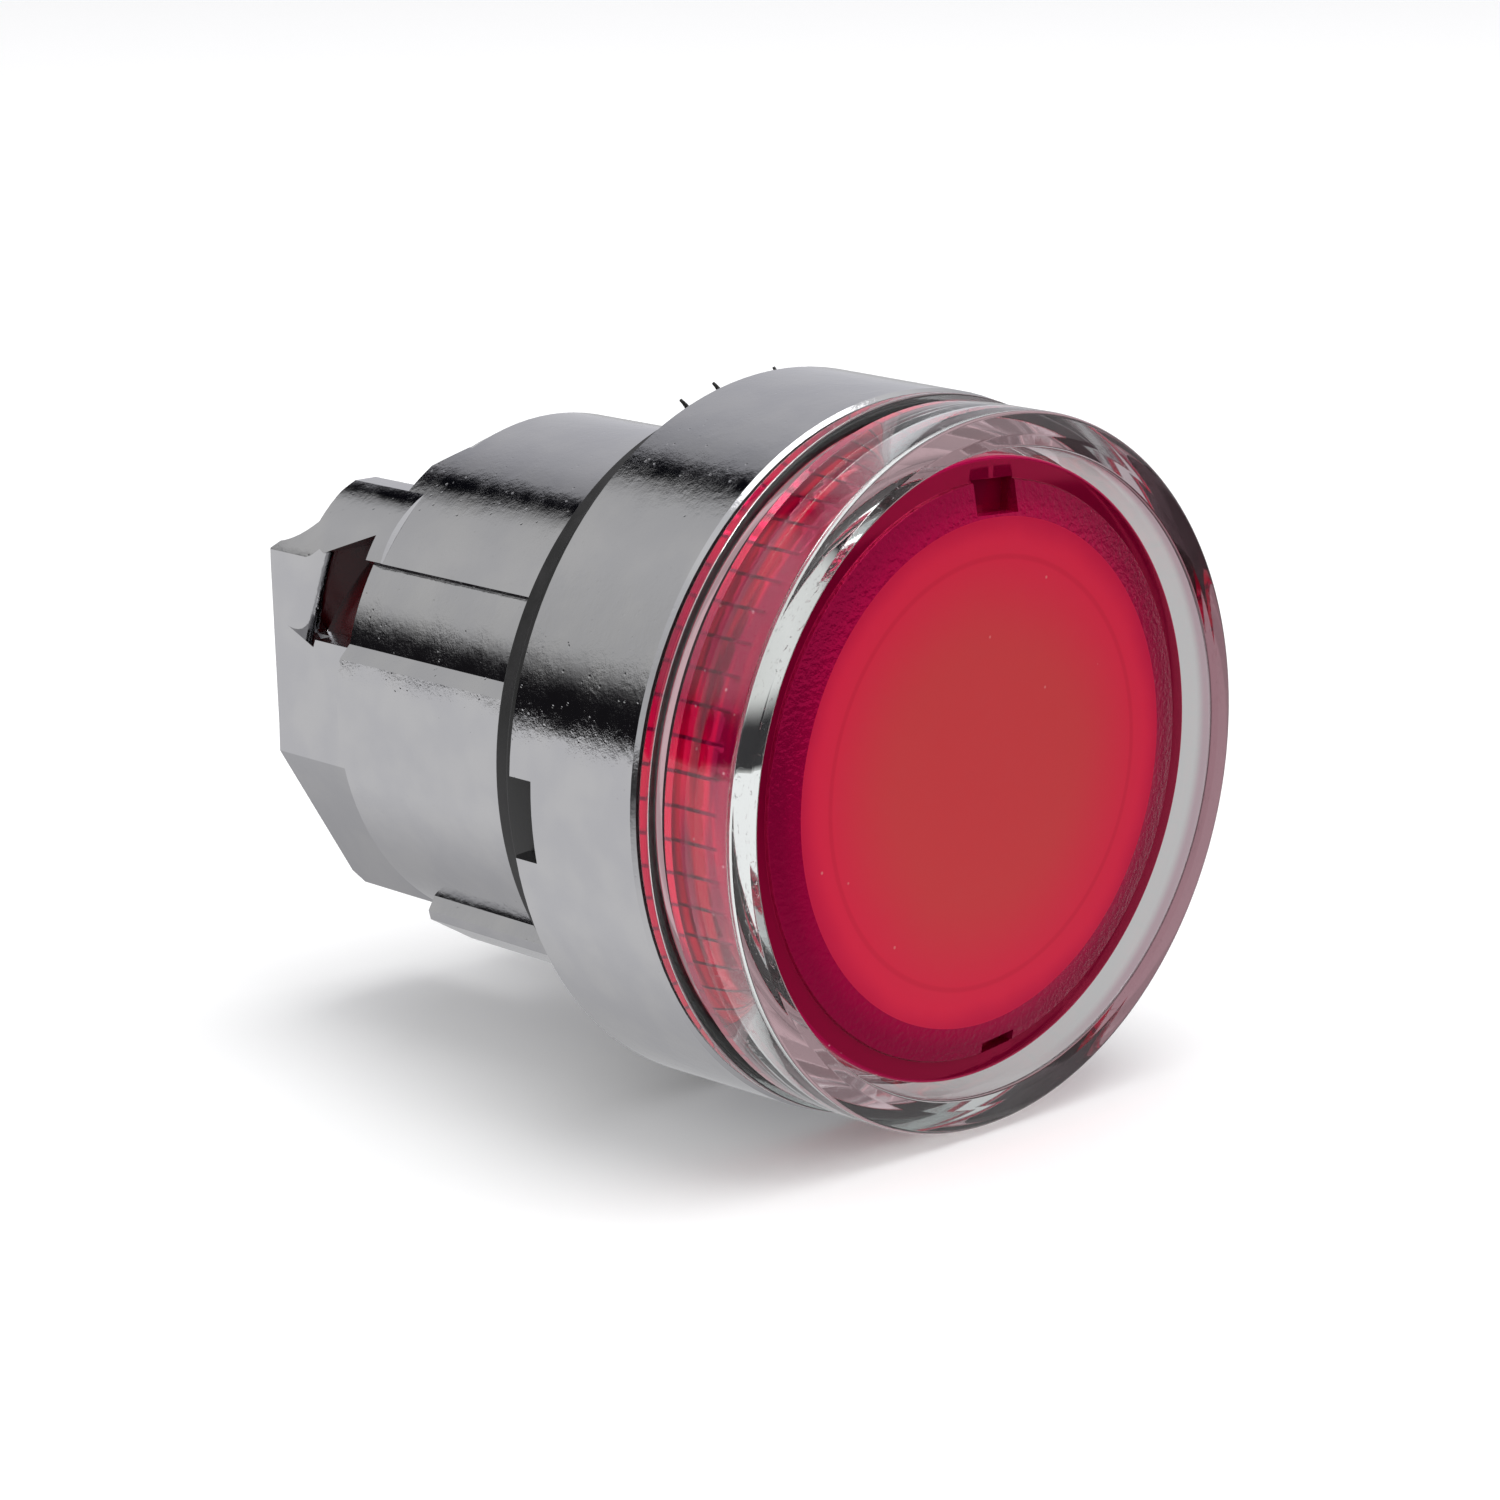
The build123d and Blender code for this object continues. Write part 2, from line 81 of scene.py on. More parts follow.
FACE_R = 10.05            # lens: flat face, then a sloping shoulder down to the rim
FACE_WALL = 1.25
SHOULDER = (11.42, 13.42)           # radius and depth of the shoulder's outer edge
RIM = (11.46, 13.27)
RIM_DEPTH = 13.22
SKIRT_BORE_R = 11.5
STEP_R = 10.5             # step inside the lens that takes the diffuser
STEP_DEPTH = 11.6
SLOT_FLOOR = 12.75
SLOT_OUTER_R = 11.48
LENS_SLOTS = ((-3.0, 1.15, 10.15), (186.0, 0.9, 10.95))     # angle, half width, inner radius
TICKS = 62                # fine ribs round the skirt
TICK_PHASE = 1.07         # degrees
TICK_LOW = 8.35
TICK_HIGH = 12.2
TICK_EDGES = (-0.085, -0.035, 0.035, 0.085, 0.25, 0.42, 0.58, 0.75)    # columns in one pitch
TICK_HALF = 0.05          # a tick's half width, as a share of the pitch

GASKET_R = 13.55
GASKET_STEP_R = 13.1
GASKET_STEP = 1.1
GASKET_FRONT = 3.64
GASKET_BORE_R = 11.02
KEY_ANGLE = 150.0         # the gasket is cut here for the casting's key
KEY_HALF = 1.65
KEY_R = 11.9
WHISKERS = ((-3.0, 0.35), (10.0, 0.5), (17.5, 0.4))         # angle, bend
WHISKER_ROOT_R = 13.35
WHISKER_LENGTH = 1.05
WHISKER_DEPTH = 1.7

COIL_WIRE = 0.4           # return spring: the wire's radius, the coil's mean radius and its turns
COIL_R = 6.3
COIL_TURNS = 7.5
COIL_CLOSED = 0.95        # closed turns at each end

# ------------------------------------------------------------------ camera
CAMERA_AT = Vector((-0.12101, -0.12547, 0.04204))
CAMERA_FORWARD = Vector((0.6754, 0.6965, -0.2423))
CAMERA_LENS = 105.6
CAMERA_SENSOR = 36.0


def make_camera():
    """Camera from the front left and a little above, upright and with no shift."""
    data = bpy.data.cameras.new("camera")
    data.lens = CAMERA_LENS
    data.sensor_width = CAMERA_SENSOR
    data.clip_start = 0.005
    data.clip_end = 20.0
    camera = bpy.data.objects.new("camera", data)
    bpy.context.scene.collection.objects.link(camera)
    forward = CAMERA_FORWARD.normalized()
    right = forward.cross(Vector((0, 0, 1))).normalized()
    up = right.cross(forward)
    turn = Matrix((right, up, -forward)).transposed().to_4x4()
    camera.matrix_world = Matrix.Translation(CAMERA_AT) @ turn
    bpy.context.scene.camera = camera


# ------------------------------------------------------------------ node helpers
class Tree:
    """Short names for building a node tree."""

    def __init__(self, tree):
        self.tree = tree
        tree.nodes.clear()

    def add(self, kind, inputs=None, **settings):
        """New node; inputs are plain values or other nodes' outputs, by socket name or number."""
        node = self.tree.nodes.new(kind)
        for key, value in settings.items():
            setattr(node, key, value)
        for key, value in (inputs or {}).items():
            self.feed(node.inputs[key], value)
        return node

    def feed(self, socket, value):
        if isinstance(value, bpy.types.NodeSocket):
            self.tree.links.new(value, socket)
        else:
            socket.default_value = value

    def math(self, operation, a, b=0.0):
        return self.add("ShaderNodeMath", {0: a, 1: b}, operation=operation).outputs[0]

    def product(self, first, *others):
        """All the values multiplied together."""
        for other in others:
            first = self.math("MULTIPLY", first, other)
        return first

    def position(self):
        """The point in the piece's own space, which is the part's frame."""
        return self.add("ShaderNodeTexCoord").outputs["Object"]

    def split(self, vector):
        return self.add("ShaderNodeSeparateXYZ", {0: vector}).outputs

    def join(self, x, y, z):
        return self.add("ShaderNodeCombineXYZ", {0: x, 1: y, 2: z}).outputs[0]

    def noise(self, vector, scale, detail=2.0, roughness=0.5, distortion=0.0):
        node = self.add("ShaderNodeTexNoise", {
            "Vector": vector, "Scale": scale, "Detail": detail,
            "Roughness": roughness, "Distortion": distortion})
        return node.outputs[0]

    def cells(self, vector, scale):
        """Distance to the nearest of many scattered points."""
        return self.add("ShaderNodeTexVoronoi", {"Vector": vector, "Scale": scale}).outputs["Distance"]

    def remap(self, value, low, high, to_low=0.0, to_high=1.0, blending="LINEAR"):
        """Value moved from one range to another and held at its ends."""
        node = self.add("ShaderNodeMapRange", {
            "Value": value, "From Min": low, "From Max": high, "To Min": to_low, "To Max": to_high},
            interpolation_type=blending)
        return node.outputs[0]

    def smooth(self, value, low, high, to_low=0.0, to_high=1.0):
        """Same, easing in and out."""
        return self.remap(value, low, high, to_low, to_high, "SMOOTHSTEP")

    def ramp(self, value, stops):
        """Colour ramp from (position, colour) pairs."""
        node = self.add("ShaderNodeValToRGB", {0: value})
        ends = node.color_ramp.elements
        while len(ends) < len(stops):
            ends.new(0.5)
        for element, (place, colour) in zip(ends, stops):
            element.position = place
            element.color = (*colour, 1.0)
        return node.outputs[0]

    def blend(self, factor, first, second):
        """Mix of two colours."""
        node = self.add("ShaderNodeMix", data_type="RGBA")
        for socket, value in ((node.inputs[0], factor), (node.inputs[6], first), (node.inputs[7], second)):
            if isinstance(value, tuple) and len(value) == 3:
                value = (*value, 1.0)
            self.feed(socket, value)
        return node.outputs[2]

    def bump(self, height, distance, normal=None):
        inputs = {"Height": height, "Distance": distance, "Strength": 1.0}
        if normal is not None:
            inputs["Normal"] = normal
        return self.add("ShaderNodeBump", inputs).outputs[0]

    def around(self):
        """Coordinates wrapped round the head: arc length, depth along the axis, radius, in metres."""
        x, y, z = self.split(self.position())
        radius = self.math("SQRT", self.math("ADD", self.product(x, x), self.product(z, z)))
        arc = self.product(self.math("ARCTAN2", x, z), radius)
        return arc, y, radius


def shader(name, colour, roughness, metallic=0.0, **constants):
    """Material with one Principled shader; returns the material, its tree and the shader."""
    material = bpy.data.materials.new(name)
    material.use_nodes = True
    tree = Tree(material.node_tree)
    bsdf = tree.add("ShaderNodeBsdfPrincipled", {
        "Base Color": (*colour, 1.0), "Roughness": roughness, "Metallic": metallic})
    for key, value in constants.items():
        bsdf.inputs[key.replace("_", " ")].default_value = value
    output = tree.add("ShaderNodeOutputMaterial")
    tree.feed(output.inputs["Surface"], bsdf.outputs[0])
    return material, tree, bsdf


# ------------------------------------------------------------------ materials
def chrome():
    """Bright chrome plate: fine polishing marks round the head, orange peel and tiny pits."""
    material, tree, bsdf = shader("chrome_zinc_detailed", (0.50, 0.50, 0.51), 0.05, 1.0)
    arc, depth, radius = tree.around()
    place = tree.position()
    marks = tree.noise(
        tree.join(tree.product(arc, 900.0), tree.product(depth, 9000.0), tree.product(radius, 900.0)),
        1.0, 3.0, 0.65)
    peel = tree.noise(place, 420.0, 2.0, 0.5)
    grit = tree.noise(place, 3200.0, 4.0, 0.72)
    patches = tree.smooth(tree.noise(place, 500.0, 2.0, 0.6), 0.35, 0.65, 0.35, 1.0)
    pits = tree.smooth(tree.cells(place, 2600.0), 0.06, 0.20, 0.0, 1.0)
    pits = tree.math("MAXIMUM", pits, tree.smooth(tree.noise(place, 900.0, 1.0), 0.52, 0.56, 1.0, 0.0))
    normal = tree.bump(marks, 1.6e-6)
    normal = tree.bump(peel, 5.0e-6, normal=normal)
    normal = tree.bump(tree.product(grit, patches), 1.15e-5, normal=normal)
    normal = tree.bump(pits, 5.0e-6, normal=normal)
    tree.feed(bsdf.inputs["Normal"], normal)
    tree.feed(bsdf.inputs["Roughness"], tree.remap(peel, 0.3, 0.7, 0.035, 0.075))
    tint = tree.blend(tree.smooth(peel, 0.35, 0.7), (0.48, 0.48, 0.495), (0.515, 0.513, 0.52))
    tree.feed(bsdf.inputs["Base Color"], tint)
    return material


def steel(name, colour, roughness):
    """Stainless strip or wire with fine rolling marks."""
    material, tree, bsdf = shader(name, colour, roughness, 1.0)
    arc, depth, radius = tree.around()
    marks = tree.noise(
        tree.join(tree.product(arc, 1200.0), tree.product(depth, 14000.0), tree.product(radius, 14000.0)),
        1.0, 3.0, 0.6)
    tree.feed(bsdf.inputs["Normal"], tree.bump(marks, 1.2e-6))
    tree.feed(bsdf.inputs["Roughness"], tree.remap(marks, 0.3, 0.7, roughness - 0.06, roughness + 0.1))
    return material


def rubber(name, low, high, roughness):
    """Moulded black rubber, a little dusty on its high spots."""
    material, tree, bsdf = shader(name, high, roughness, 0.0, Specular_IOR_Level=0.35)
    place = tree.position()
    cloud = tree.noise(place, 700.0, 3.0, 0.6)
    grain = tree.noise(place, 9000.0, 2.0, 0.6)
    tree.feed(bsdf.inputs["Base Color"], tree.blend(tree.smooth(cloud, 0.35, 0.7), low, high))
    tree.feed(bsdf.inputs["Roughness"], tree.remap(cloud, 0.3, 0.7, roughness - 0.08, roughness + 0.08))
    tree.feed(bsdf.inputs["Normal"], tree.bump(grain, 3.0e-6))
    return material


def moulded(name, low, high, roughness, **constants):
    """Moulded plastic with a faint flow pattern and fine surface grain."""
    material, tree, bsdf = shader(name, high, roughness, 0.0, **constants)
    place = tree.position()
    cloud = tree.noise(place, 260.0, 3.0, 0.55, 0.6)
    grain = tree.noise(place, 6000.0, 2.0, 0.55)
    tree.feed(bsdf.inputs["Base Color"], tree.blend(tree.smooth(cloud, 0.3, 0.7), low, high))
    tree.feed(bsdf.inputs["Roughness"], tree.remap(cloud, 0.3, 0.7, roughness - 0.05, roughness + 0.07))
    tree.feed(bsdf.inputs["Normal"], tree.bump(grain, 1.5e-6))
    return material


def clear_plastic():
    """Clear plastic with moulding waves and scuffs.

    Its index and gloss are set below those of real polycarbonate.  The glow of its
    hidden foot and the pink tint on its right stand in for light that the lens throws into it.
    """
    material, tree, bsdf = shader(
        "clear_plastic_detailed", (0.95, 0.98, 0.965), 0.02, 0.0, IOR=1.46, Transmission_Weight=1.0,
        Specular_IOR_Level=0.28, Emission_Strength=1.0)
    place = tree.position()
    x, y = tree.split(place)[:2]
    foot = tree.smooth(y, -9.3 * MM, -8.9 * MM)
    tree.feed(bsdf.inputs["Emission Color"], tree.blend(foot, (0.0, 0.0, 0.0), (0.095, 0.064, 0.070)))
    blush = tree.product(tree.smooth(x, 1.0 * MM, 9.0 * MM), tree.smooth(y, -13.5 * MM, -14.0 * MM))
    tree.feed(bsdf.inputs["Base Color"], tree.blend(blush, (0.95, 0.98, 0.965), (0.66, 0.42, 0.49)))
    waves = tree.noise(place, 190.0, 2.0, 0.5)
    scuffs = tree.noise(place, 2600.0, 3.0, 0.7, 1.5)
    normal = tree.bump(waves, 1.4e-5)
    normal = tree.bump(tree.smooth(scuffs, 0.62, 0.70), 0.8e-6, normal=normal)
    tree.feed(bsdf.inputs["Normal"], normal)
    tree.feed(bsdf.inputs["Roughness"], tree.smooth(scuffs, 0.60, 0.72, 0.012, 0.11))
    return material


def red_rim():
    """Red of the lens's rim, grainy shoulder and ticked skirt; a glow stands in for light inside it."""
    material, tree, bsdf = shader(
        "red_lens_rim", (0.42, 0.001, 0.030), 0.06, 0.45, Specular_IOR_Level=0.12, Emission_Strength=0.30)
    place = tree.position()
    arc, y, radius = tree.around()
    shoulder = tree.product(tree.smooth(radius, 11.5 * MM, 11.4 * MM), tree.smooth(y, -13.0 * MM, -13.2 * MM))
    skirt = tree.smooth(radius, 12.15 * MM, 12.25 * MM)
    grain = tree.noise(place, 4000.0, 2.0, 0.6)
    tree.feed(bsdf.inputs["Roughness"], tree.math("ADD", tree.product(shoulder, 0.16), 0.07))
    streaks = tree.noise(tree.join(tree.product(arc, 130.0), tree.product(y, 1300.0), 0.0), 1.0, 2.0, 0.5)
    turn = tree.math("ADD", tree.math("DIVIDE", arc, radius), math.radians(TICK_PHASE))
    beat = tree.math("COSINE", tree.product(turn, float(TICKS)))
    below = tree.smooth(y, -(TICK_HIGH + 0.1) * MM, -(TICK_HIGH - 0.1) * MM)
    tick = tree.product(tree.smooth(beat, 0.90, 0.97), below, skirt)
    # Painted light: bright streaks round the skirt, lighter in colour and glowing, stand in for light carried
    # inside the lens.
    glow = tree.product(tree.smooth(streaks, 0.42, 0.66), tree.smooth(y, -12.7 * MM, -12.0 * MM), skirt)
    specks = tree.product(tree.smooth(tree.cells(place, 1300.0), 0.10, 0.05), skirt)
    plain = tree.blend(skirt, (0.34, 0.0003, 0.040), (0.52, 0.0006, 0.080))
    colour = tree.blend(glow, plain, (0.85, 0.002, 0.080))
    bank = tree.blend(tree.smooth(radius, 10.1 * MM, 11.0 * MM), (0.47, 0.0005, 0.060), (0.36, 0.0004, 0.050))
    colour = tree.blend(shoulder, colour, bank)
    colour = tree.blend(tick, colour, (0.42, 0.0004, 0.066))
    colour = tree.blend(specks, colour, (0.85, 0.35, 0.45))
    tree.feed(bsdf.inputs["Base Color"], colour)
    # Painted light: the skirt glows faintly all round, brighter in the streaks, and not at the ticks.
    light = tree.blend(glow, (0.14, 0.0, 0.014), (0.95, 0.0, 0.04))
    light = tree.blend(tree.math("MAXIMUM", tick, tree.math("SUBTRACT", 1.0, skirt)), light, (0.0, 0.0, 0.0))
    tree.feed(bsdf.inputs["Emission Color"], light)
    normal = tree.bump(tree.product(grain, shoulder), 5.0e-5)
    normal = tree.bump(streaks, 4.0e-6, normal=normal)
    tree.feed(bsdf.inputs["Normal"], normal)
    return material


def red_face():
    """Frosted centre of the lens: satin red, deeper towards its edge, with a faint ring and specks."""
    material, tree, bsdf = shader(
        "red_lens_face", (0.55, 0.004, 0.012), 0.42, 0.0, IOR=1.585, Specular_IOR_Level=0.15,
        Subsurface_Weight=0.15)
    bsdf.inputs["Subsurface Radius"].default_value = (1.0, 0.08, 0.12)
    bsdf.inputs["Subsurface Scale"].default_value = 1.0 * MM
    place = tree.position()
    radius = tree.around()[2]
    cloud = tree.noise(place, 120.0, 3.0, 0.55, 0.5)
    wavy = tree.math("ADD", radius, tree.product(tree.math("SUBTRACT", cloud, 0.5), 1.6 * MM))
    share = tree.smooth(wavy, 4.5 * MM, 9.6 * MM)
    colour = tree.blend(share, (0.70, 0.054, 0.062), (0.80, 0.017, 0.066))
    ring = tree.smooth(tree.math("ABSOLUTE", tree.math("SUBTRACT", radius, 8.5 * MM)), 0.16 * MM, 0.04 * MM)
    colour = tree.blend(tree.product(ring, 0.35), colour, (0.60, 0.008, 0.040))
    hem = tree.smooth(wavy, 9.0 * MM, 10.3 * MM)
    colour = tree.blend(hem, colour, (0.62, 0.004, 0.056))
    specks = tree.smooth(tree.cells(place, 420.0), 0.035, 0.015)
    colour = tree.blend(tree.product(specks, 0.6), colour, (0.85, 0.30, 0.30))
    tree.feed(bsdf.inputs["Base Color"], colour)
    frost = tree.noise(place, 7000.0, 2.0, 0.6)
    tree.feed(bsdf.inputs["Normal"], tree.bump(frost, 2.0e-6))
    tree.feed(bsdf.inputs["Roughness"], tree.remap(cloud, 0.3, 0.7, 0.38, 0.47))
    return material


def red_plunger():
    """Translucent dark red moulding of the plunger."""
    return moulded("red_plunger_detailed", (0.06, 0.001, 0.003), (0.10, 0.002, 0.005), 0.28,
                   IOR=1.55, Coat_Weight=0.25)


def floor_paper():
    """Plain pale studio paper; the object sees an even sheet, darker to its right and in front."""
    material, tree, bsdf = shader(
        "floor_paper", (0.93, 0.93, 0.93), 0.9, 0.0, Specular_IOR_Level=0.1, Emission_Strength=1.0)
    place = tree.position()
    fibre = tree.noise(place, 60.0, 4.0, 0.6)
    pale = tree.blend(fibre, (0.925, 0.925, 0.925), (0.94, 0.94, 0.94))
    x, y = tree.split(place)[:2]
    rays = tree.add("ShaderNodeLightPath").outputs
    seen = rays["Is Camera Ray"]
    tree.feed(bsdf.inputs["Base Color"], tree.blend(seen, (0.02, 0.02, 0.02), pale))
    front = tree.blend(rays["Is Diffuse Ray"], (0.012, 0.012, 0.012), (0.30, 0.30, 0.305))
    inside = tree.math("GREATER_THAN", rays["Transmission Depth"], 0.5)
    front = tree.blend(inside, front, (0.60, 0.60, 0.61))
    near = tree.blend(tree.smooth(x, -0.020, -0.004), (0.84, 0.84, 0.85), (0.48, 0.48, 0.49))
    sheet = tree.blend(tree.smooth(y, -0.075, -0.012), front, near)
    tree.feed(bsdf.inputs["Emission Color"], tree.blend(seen, sheet, (0.10, 0.10, 0.10)))
    return material


# ------------------------------------------------------------------ mesh helpers
def new_piece(name, mesh, body, slot, *nodes):
    """Link a mesh as a piece that rides on a body and stands for CAD nodes."""
    piece = bpy.data.objects.new(name, mesh)
    bpy.context.scene.collection.objects.link(piece)
    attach(piece, body)
    if nodes:
        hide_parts(*nodes)
    return piece


def finish_mesh(mesh, angle=35.0):
    """Outward normals, smooth shading and sharp edges above an angle."""
    work = bmesh.new()
    work.from_mesh(mesh)
    bmesh.ops.remove_doubles(work, verts=work.verts, dist=1e-7)
    bmesh.ops.recalc_face_normals(work, faces=work.faces)
    work.to_mesh(mesh)
    work.free()
    mesh.shade_smooth()
    mesh.set_sharp_from_angle(angle=math.radians(angle))


def rounded(points, steps=5):
    """Closed outline of (radius, depth[, fillet]) points with its corners rounded."""
    out = []
    count = len(points)
    for i, point in enumerate(points):
        here = Vector(point[:2])
        fillet = point[2] if len(point) > 2 else 0.0
        before = Vector(points[i - 1][:2]) - here
        after = Vector(points[(i + 1) % count][:2]) - here
        if fillet <= 0.0:
            out.append(here)
            continue
        a = before.normalized()
        b = after.normalized()
        half = a.angle(b) / 2
        reach = min(fillet / math.tan(half), before.length * 0.49, after.length * 0.49)
        radius = reach * math.tan(half)
        centre = here + (a + b).normalized() * (radius / math.sin(half))
        start = here + a * reach - centre
        end = here + b * reach - centre
        turn = start.angle_signed(end)
        for k in range(steps + 1):
            part = turn * k / steps
            c, s = math.cos(-part), math.sin(-part)
            out.append(centre + Vector((start.x * c - start.y * s, start.x * s + start.y * c)))
    return out


def at(radius, depth, angle):
    """Point at a radius from the head's axis, a depth and an angle from 12 o'clock."""
    return (-radius * math.sin(angle) * MM, -depth * MM, radius * math.cos(angle) * MM)


def lathe(name, outline, columns):
    """Solid of revolution about the Y axis from a closed (radius, depth) outline in millimetres."""
    rows = len(outline)
    verts = []
    faces = []
    for i in range(columns):
        verts += [at(radius, depth, 2 * math.pi * i / columns) for radius, depth in outline]
    for i in range(columns):
        j = (i + 1) % columns
        for k in range(rows):
            m = (k + 1) % rows
            faces.append((i * rows + k, i * rows + m, j * rows + m, j * rows + k))
    mesh = bpy.data.meshes.new(name)
    mesh.from_pydata(verts, [], faces)
    mesh.validate()
    return mesh


def cap_lathe(name, outline, angles, shape):
    """Solid of revolution from an open outline that starts and ends on the axis."""
    verts = [(0.0, -outline[0][1] * MM, 0.0), (0.0, -outline[-1][1] * MM, 0.0)]
    faces = []
    inner = outline[1:-1]
    rows = len(inner)
    for angle in angles:
        verts += [at(shape(radius, depth, angle), depth, angle) for radius, depth in inner]
    total = len(angles)
    for i in range(total):
        j = (i + 1) % total
        a, b = 2 + i * rows, 2 + j * rows
        faces.append((0, b, a))
        faces.append((1, a + rows - 1, b + rows - 1))
        for k in range(rows - 1):
            faces.append((a + k, b + k, b + k + 1, a + k + 1))
    mesh = bpy.data.meshes.new(name)
    mesh.from_pydata(verts, [], faces)
    mesh.validate()
    return mesh


def apply_modifiers(piece):
    """Replace a piece's mesh with its evaluated one."""
    graph = bpy.context.evaluated_depsgraph_get()
    mesh = bpy.data.meshes.new_from_object(piece.evaluated_get(graph))
    piece.modifiers.clear()
    piece.data = mesh


def cut(piece, cutter_mesh):
    """Subtract a closed mesh from a piece."""
    tool = bpy.data.objects.new("cutter", cutter_mesh)
    bpy.context.scene.collection.objects.link(tool)
    step = piece.modifiers.new("cut", "BOOLEAN")
    step.operation = "DIFFERENCE"
    step.solver = "EXACT"
    step.object = tool
    apply_modifiers(piece)
    bpy.data.objects.remove(tool)


def box_mesh(low, high):
    """Closed box between two corners, in metres."""
    work = bmesh.new()
    bmesh.ops.create_cube(work, size=1.0)
    middle = (Vector(low) + Vector(high)) / 2
    size = Vector(high) - Vector(low)
    for vert in work.verts:
        vert.co = Vector(vert.co[i] * size[i] + middle[i] for i in range(3))
    mesh = bpy.data.meshes.new("cutter")
    work.to_mesh(mesh)
    work.free()
    return mesh


def cut_block(piece, angle, half, y_limits, z_limits):
    """Cut a block out of a piece at 12 o'clock, turned to an angle; limits in millimetres."""
    low = (-half * MM, y_limits[0] * MM, z_limits[0] * MM)
    high = (half * MM, y_limits[1] * MM, z_limits[1] * MM)
    cutter = box_mesh(low, high)
    cutter.transform(Matrix.Rotation(-math.radians(angle), 4, "Y"))
    cut(piece, cutter)


def swept(name, path, radii, sides):
    """Round wire along a list of points, closed at both ends, in metres."""
    verts = []
    faces = []
    count = len(path)
    tangent = (path[1] - path[0]).normalized()
    side = tangent.orthogonal().normalized()
    for i, point in enumerate(path):
        nxt = path[min(i + 1, count - 1)]
        last = path[max(i - 1, 0)]
        tangent = (nxt - last).normalized()
        side = (side - tangent * side.dot(tangent)).normalized()
        other = tangent.cross(side)
        radius = radii[i] if isinstance(radii, list) else radii
        for k in range(sides):
            turn = 2 * math.pi * k / sides
            verts.append(point + (side * math.cos(turn) + other * math.sin(turn)) * radius)
    for i in range(count - 1):
        for k in range(sides):
            m = (k + 1) % sides
            faces.append((i * sides + k, i * sides + m, (i + 1) * sides + m, (i + 1) * sides + k))
    faces.append(tuple(reversed(range(sides))))
    faces.append(tuple(range((count - 1) * sides, count * sides)))
    mesh = bpy.data.meshes.new(name)
    mesh.from_pydata(verts, [], faces)
    return mesh


def limits(node):
    """Largest radius, rear depth and front depth of a CAD node, in millimetres."""
    low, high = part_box(node)
    return max(high[0], -low[0]) / MM, -high[1] / MM, -low[1] / MM


# ------------------------------------------------------------------ pieces
def make_guard_ring(material):
    """Clear ring round the lens, with a flange, a groove for its rubber ring and rounded edges."""
    flange, rear, front = limits("guard_ring")
    wall = flange - 0.15
    bore = limits("lens_cap")[0] + 0.4
    outline = rounded([
        (bore, rear, 0.05), (FOOT_R, rear, 0.1), (FOOT_R, FLANGE_REAR, 0.03), (flange, FLANGE_REAR, 0.12),
        (flange, GROOVE_REAR, 0.10), (GROOVE_R, GROOVE_REAR, 0.03), (GROOVE_R, GROOVE_FRONT, 0.03),
        (wall, GROOVE_FRONT, 0.08), (wall, front - 0.12, 0.20), (bore + 0.5, front, 0.6),
        (bore, front, 0.12),
    ], steps=7)
    mesh = lathe("guard_ring_clear", outline, 360)
    new_piece("guard_ring_clear", mesh, "head", "clear_plastic", "guard_ring")
    finish_mesh(mesh, 50.0)
    mesh.materials.append(material)


def make_lens(face_material, rim_material):
    """Red lens: frosted face, grainy shoulder, smooth rim, ticked skirt and two tool slots."""
    outer, rear, front = limits("lens_cap")
    skin = outer - 0.02
    columns = []
    pitch = 2 * math.pi / TICKS
    for i in range(TICKS):
        for share in TICK_EDGES:
            columns.append((i + share) * pitch + math.radians(TICK_PHASE))

    def ticked(radius, depth, angle):
        """Radius of the skirt, which is proud at a tick."""
        if abs(radius - skin) > 1e-6 or not TICK_LOW <= depth <= TICK_HIGH:
            return radius
        share = ((angle - math.radians(TICK_PHASE)) / pitch + 0.5) % 1.0 - 0.5
        return outer if abs(share) < TICK_HALF else radius

    inner_face = front - FACE_WALL
    outline = [(0.0, front), (3.5, front), (7.0, front)]
    outline += [tuple(p) for p in rounded([
        (0.0, front), (FACE_R, front, 0.05), (*SHOULDER, 0.04), (*RIM, 0.03),
        (skin, RIM_DEPTH, 0.16), (skin, rear, 0.05), (SKIRT_BORE_R, rear, 0.05), (SKIRT_BORE_R, STEP_DEPTH),
        (STEP_R, STEP_DEPTH), (STEP_R, inner_face), (0.0, inner_face)], steps=4)][1:-1]
    ticks = [(skin, TICK_HIGH + 0.06), (skin, TICK_HIGH), (skin, TICK_LOW), (skin, TICK_LOW - 0.06)]
    place = next(i for i, p in enumerate(outline) if abs(p[0] - skin) < 1e-6 and p[1] < TICK_HIGH)
    outline = outline[:place] + ticks + outline[place:]
    outline.append((0.0, inner_face))
    mesh = cap_lathe("lens_red", outline, columns, ticked)
    piece = new_piece("lens_red", mesh, "button", "red_lens", "lens_cap")
    for angle, half, inner in LENS_SLOTS:
        cut_block(piece, angle, half, (-(front + 1), -SLOT_FLOOR), (inner, SLOT_OUTER_R))
    mesh = piece.data
    finish_mesh(mesh, 25.0)
    mesh.materials.clear()
    mesh.materials.append(rim_material)
    mesh.materials.append(face_material)
    for polygon in mesh.polygons:
        middle = polygon.center
        if middle.y < -(front - 0.03) * MM and math.hypot(middle.x, middle.z) < (FACE_R + 0.01) * MM:
            polygon.material_index = 1


